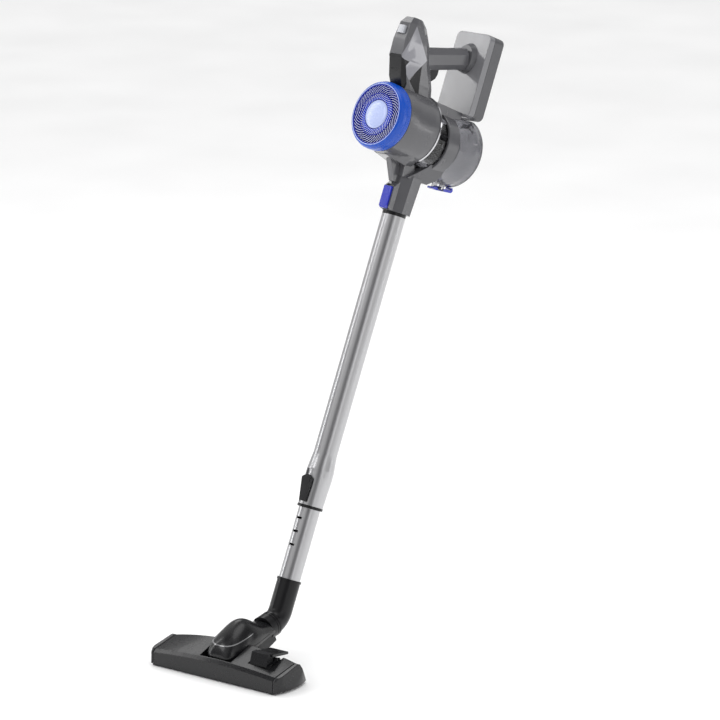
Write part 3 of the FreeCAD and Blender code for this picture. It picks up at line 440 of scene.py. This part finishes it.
def exhaust_grille():
    """The rim, the step, the disc behind the hub and two rings of blades, inside and outside the step, each blade
    with a pale strip along its front edge as a painted glint.
    """
    made = bmesh.new()
    rim_inner = GRILLE_RADIUS - 0.8
    rim = round_profile([(-92.15, rim_inner), (-92.15, RIM_RADIUS), (-88.2, RIM_RADIUS), (-88.2, rim_inner)],
                        0.35)
    turned(made, rim, MOTOR_Z)
    step_in = GRILLE_STEP - 0.6
    step_out = GRILLE_STEP + 0.6
    step = round_profile([(-91.9, step_in), (-91.9, step_out), (-88.0, step_out), (-88.0, step_in)], 0.3)
    turned(made, step, MOTOR_Z)
    turned(made, [(-89.5, 0), (-89.5, 22.6), (-86.7, 22.6), (-86.7, 0)], MOTOR_Z)
    edges = bmesh.new()
    for i in range(BLADES):
        turn = 2 * math.pi * i / BLADES
        for target, outline in ((made, BLADE_SECTION), (edges, GLINT_SECTION)):
            grille_blade(target, turn, GRILLE_SEAT, GRILLE_STEP, INNER_FRONT, INNER_SWIRL,
                         INNER_THICKNESS, outline)
            grille_blade(target, turn + INNER_SWIRL, GRILLE_STEP, GRILLE_RADIUS, OUTER_FRONT, OUTER_SWIRL,
                         OUTER_THICKNESS, outline)
    make_object("grille_blades", made, MATERIALS["navy_grille"], "filter_cap",
                ["exhaust_grille"])
    # the pale strips along the blades' front edges are painted glints
    make_object("grille_painted_glints", edges, MATERIALS["blade_painted_glint"], "filter_cap")


def grille_gap_shade():
    """A dark navy disc behind the outer blades: painted shade for the gaps between them."""
    made = bmesh.new()
    turned(made, [(-88.9, GRILLE_STEP), (-88.9, GRILLE_RADIUS), (-88.3, GRILLE_RADIUS), (-88.3, GRILLE_STEP)],
           MOTOR_Z)
    make_object("grille_gap_shade", made, MATERIALS["navy_gap_shade"], "filter_cap")


def grille_step():
    """The brighter stepped band inside the grille."""
    made = bmesh.new()
    profile = [(-91.2, 22.4), (-91.0, 24.0), (-90.3, 29.6), (-89.6, 30.3), (-89.2, 30.3), (-89.2, 22.4)]
    turned(made, profile, MOTOR_Z)
    make_object("grille_step_band", made, MATERIALS["step_blue"], "filter_cap")


def filter_ring():
    """The twist-off ring: a rolled lip, a smooth face and a fine knurl near its rear."""
    profile = round_profile([(-92.6, 45.2), (-92.6, 46.2), (-90.6, 48.4), (-86.0, 50.2), (-80.4, 50.55),
                             (-80.0, 50.1), (-79.4, 50.1), (-79.2, 50.4), (-73.6, 50.3), (-73.4, 49.9),
                             (-71.2, 49.5), (-71.2, 46.9), (-62.1, 46.8), (-62.1, 44.5), (-88.0, 44.5),
                             (-88.0, 45.2)], 0.35, 3)
    knurled = {k for k, (y, r) in enumerate(profile) if -79.4 < y < -73.5 and r > 50.0}

    def ripple(i, k):
        return -0.28 if k in knurled and i % 3 == 0 else 0.0

    made = bmesh.new()
    turned(made, profile, MOTOR_Z, 360, ripple)
    make_object("filter_ring_skin", made, MATERIALS["blue_ring"], "filter_cap", ["filter_ring"])
    made = bmesh.new()
    lip = round_profile([(-92.75, 44.6), (-92.75, 45.5), (-92.3, 45.7), (-92.1, 44.6)], 0.15, 2)
    turned(made, lip, MOTOR_Z)
    make_object("filter_ring_lip", made, MATERIALS["periwinkle"], "filter_cap")


def grille_hub():
    """The domed boss in the middle of the grille."""
    made = bmesh.new()
    profile = [(-93.15, 0), (-93.15, 6), (-93.05, 12), (-92.8, 17.0), (-92.3, 19.6), (-91.4, 20.8),
               (-90.6, HUB_RADIUS), (-89.7, HUB_RADIUS), (-89.7, 0)]
    turned(made, profile, MOTOR_Z)
    make_object("grille_hub_skin", made, MATERIALS["periwinkle"], "filter_cap", ["grille_hub"])


exhaust_grille()
grille_gap_shade()
grille_step()
filter_ring()
grille_hub()


# ---- the pieces that keep their CAD shape, with rounded edges ------------------------------
def polygon_planes(outline):
    """Planes across x round a convex (y, z) outline given anticlockwise as seen from +x."""
    planes = []
    for (y0, z0), (y1, z1) in zip(outline, outline[1:] + outline[:1]):
        planes.append(((0, y0, z0), (0, z1 - z0, -(y1 - y0))))
    return planes


def flank(centre, normal):
    """The outside of the spine's two flanks."""
    return normal.x * centre.x > 0 and abs(normal.x) > FLANK_LEAN and abs(centre.x) > FLANK_X


# The diamond on each flank is paler grey, a painted sheen where the facet catches the light.
UPPER_FACET = [(-89, 822), (-64, 797), (-39, 833), (-75, 874)]
LOWER_FACET = [(-62, 796), (-39, 778), (-46, 826)]
patch("spine_facet_painted_sheen", "spine_housing", polygon_planes(UPPER_FACET), flank, 0.15, MATERIALS["facet_painted_sheen"])
# The lower triangle on each flank is near-black: painted shade on a facet turned from the light.
patch("spine_lower_facet_painted_shade", "spine_housing", polygon_planes(LOWER_FACET), flank, 0.12,
      MATERIALS["black_plastic"])


def shield_outside(centre, normal):
    """The outer face of the neck's cover, without its ends and its underside."""
    middle_y, middle_z = SHIELD_MIDDLE
    outward = Vector((centre.x, SHIELD_SQUASH * (centre.y - middle_y), centre.z - middle_z))
    shown = SHIELD_LOWEST < centre.z and centre.y < SHIELD_REAR
    return shown and normal.dot(outward) > 0 and normal.z > SHIELD_UNDERSIDE


def between_lines(y0, z0, slope, height):
    """Two planes across x: a line rising along y and a parallel one above it."""
    return [((0, y0, z0), (0, slope, -1)), ((0, y0, z0 + height), (0, -slope, 1))]


# The ridge is raised, and its lighter grey is a painted highlight line along it.
patch("shield_ridge", "neck_shield", between_lines(-15, 47.2, 0.24, 1.2) + [((0, 26, 0), (0, 1, 0))],
      shield_outside, 0.55, MATERIALS["ridge_painted_highlight"], ROW)
patch("shield_rim", "neck_shield", between_lines(-26, 29, 0.14, 4.6), shield_outside, 0.4,
      MATERIALS["charcoal_satin"], ROW)

soften("motor_housing", 1.2, 24.0, 3)
soften("wand_socket", 0.9, 24.0, 2)
soften("spine_housing", 0.8, 12.0, 3)
soften("handle_grip", 1.6, 18.0, 3)
soften("dock_flange", 2.2, 18.0, 4)
soften("battery_shelf", 0.8)
soften("battery_case", 1.4, 30.0, 4)
soften("battery_cover", 0.8, 30.0, 3)
soften("battery_button", 0.8)
soften("trigger", 1.2, 12.0, 3)
soften("mode_button", 0.6)
soften("vent_insert", 0.6)
soften("release_button", 0.7)
soften("latch_lever", 0.6)
soften("slide_button", 0.9)
soften("cup_door", 0.5, 30.0, 3)
soften("head_cover", 1.2, 18.0, 3)
soften("end_caps", 1.4, 24.0, 3)
soften("pedal", 1.6, 24.0, 3)
soften("pedal_bracket", 0.5)
soften("neck_shield", 1.0, 30.0, 3)
soften("head_base", 0.3)


# ---- the finish of every CAD node; the replaced ones are not seen --------------------------
for node, thing in frame["nodes"].items():
    finish = MATERIALS[SLOT_OF[node]]
    thing.data.materials.clear()
    thing.data.materials.append(finish)
    thing.data.polygons.foreach_set("use_smooth", [True] * len(thing.data.polygons))
    thing.data.set_sharp_from_angle(angle=math.radians(NODE_SMOOTH_ANGLE))


# ---- stage, light and camera --------------------------------------------------------------
def stage_floor():
    made = bmesh.new()
    bmesh.ops.create_circle(made, cap_ends=True, segments=96, radius=FLOOR_RADIUS)
    for vert in made.verts:
        vert.co.z -= FLOOR_DROP
    mesh = bpy.data.meshes.new("floor")
    made.to_mesh(mesh)
    made.free()
    mesh.materials.append(pale_floor("pale_floor"))
    floor = bpy.data.objects.new("floor", mesh)
    bpy.context.collection.objects.link(floor)


def soft_light(name, place, aim, size, power, tall=None):
    light = bpy.data.lights.new(name, "AREA")
    light.shape = "RECTANGLE"
    light.size = size
    light.size_y = tall or size
    light.energy = power
    lamp = bpy.data.objects.new(name, light)
    lamp.location = place
    lamp.rotation_euler = (Vector(aim) - Vector(place)).to_track_quat("-Z", "Y").to_euler()
    bpy.context.collection.objects.link(lamp)


def studio():
    """A white surround, and a dimmer room with soft bands for what glossy surfaces reflect."""
    world = bpy.data.worlds.new("studio")
    world.use_nodes = True
    tree = world.node_tree
    room = tree.nodes["Background"]
    room.inputs["Strength"].default_value = ROOM_STRENGTH
    white = tree.nodes.new("ShaderNodeBackground")
    white.inputs["Color"].default_value = (1, 1, 1, 1)
    white.inputs["Strength"].default_value = WHITE_STRENGTH
    place = tree.nodes.new("ShaderNodeTexCoord")
    split = tree.nodes.new("ShaderNodeSeparateXYZ")
    turn = tree.nodes.new("ShaderNodeMath")
    turn.operation = "ARCTAN2"
    bands = tree.nodes.new("ShaderNodeMath")
    bands.operation = "SINE"
    repeat = tree.nodes.new("ShaderNodeMath")
    repeat.operation = "MULTIPLY_ADD"
    repeat.inputs[1].default_value = ROOM_BANDS
    repeat.inputs[2].default_value = ROOM_TURN
    ramp = tree.nodes.new("ShaderNodeValToRGB")
    ramp.color_ramp.elements[0].position = 0.12
    ramp.color_ramp.elements[0].color = (0.22, 0.22, 0.23, 1)
    ramp.color_ramp.elements[1].position = 0.75
    ramp.color_ramp.elements[1].color = (1.0, 1.0, 1.0, 1)
    half = tree.nodes.new("ShaderNodeMath")
    half.operation = "MULTIPLY_ADD"
    half.inputs[1].default_value = 0.5
    half.inputs[2].default_value = 0.5
    path = tree.nodes.new("ShaderNodeLightPath")
    choose = tree.nodes.new("ShaderNodeMixShader")
    links = tree.links
    links.new(place.outputs["Generated"], split.inputs["Vector"])
    links.new(split.outputs["X"], turn.inputs[0])
    links.new(split.outputs["Y"], turn.inputs[1])
    links.new(turn.outputs[0], repeat.inputs[0])
    links.new(repeat.outputs[0], bands.inputs[0])
    links.new(bands.outputs[0], half.inputs[0])
    links.new(half.outputs[0], ramp.inputs["Fac"])
    links.new(ramp.outputs["Color"], room.inputs["Color"])
    links.new(path.outputs["Is Glossy Ray"], choose.inputs["Fac"])
    links.new(white.outputs["Background"], choose.inputs[1])
    links.new(room.outputs["Background"], choose.inputs[2])
    links.new(choose.outputs["Shader"], tree.nodes["World Output"].inputs["Surface"])
    bpy.context.scene.world = world
    soft_light("key", (-2.2, -2.6, 3.0), LIGHT_AIM, 1.1, 16)
    soft_light("fill", (3.2, -1.6, 1.6), LIGHT_AIM, 0.9, 6, 2.4)
    soft_light("top", (0.3, 0.6, 3.4), LIGHT_AIM, 1.6, 14)
    soft_light("strip_left", (-1.9, -0.6, 0.9), LIGHT_AIM, 0.30, 9, 2.2)
    soft_light("strip_right", (2.3, 1.7, 0.7), LIGHT_AIM, 0.3, 5, 2.2)
    soft_light("behind", (-1.8, 1.6, 2.4), (0.0, 0.0, 0.05), 1.2, 11)


def camera():
    eye = bpy.data.cameras.new("camera")
    eye.lens = LENS_MM
    eye.sensor_width = SENSOR_MM
    eye.clip_end = CLIP_END
    holder = bpy.data.objects.new("camera", eye)
    holder.location = EYE
    holder.rotation_euler = (Vector(AIM) - holder.location).to_track_quat("-Z", "Y").to_euler()
    bpy.context.collection.objects.link(holder)
    bpy.context.scene.camera = holder


stage_floor()
studio()
camera()
bpy.context.scene.view_settings.view_transform = "Standard"
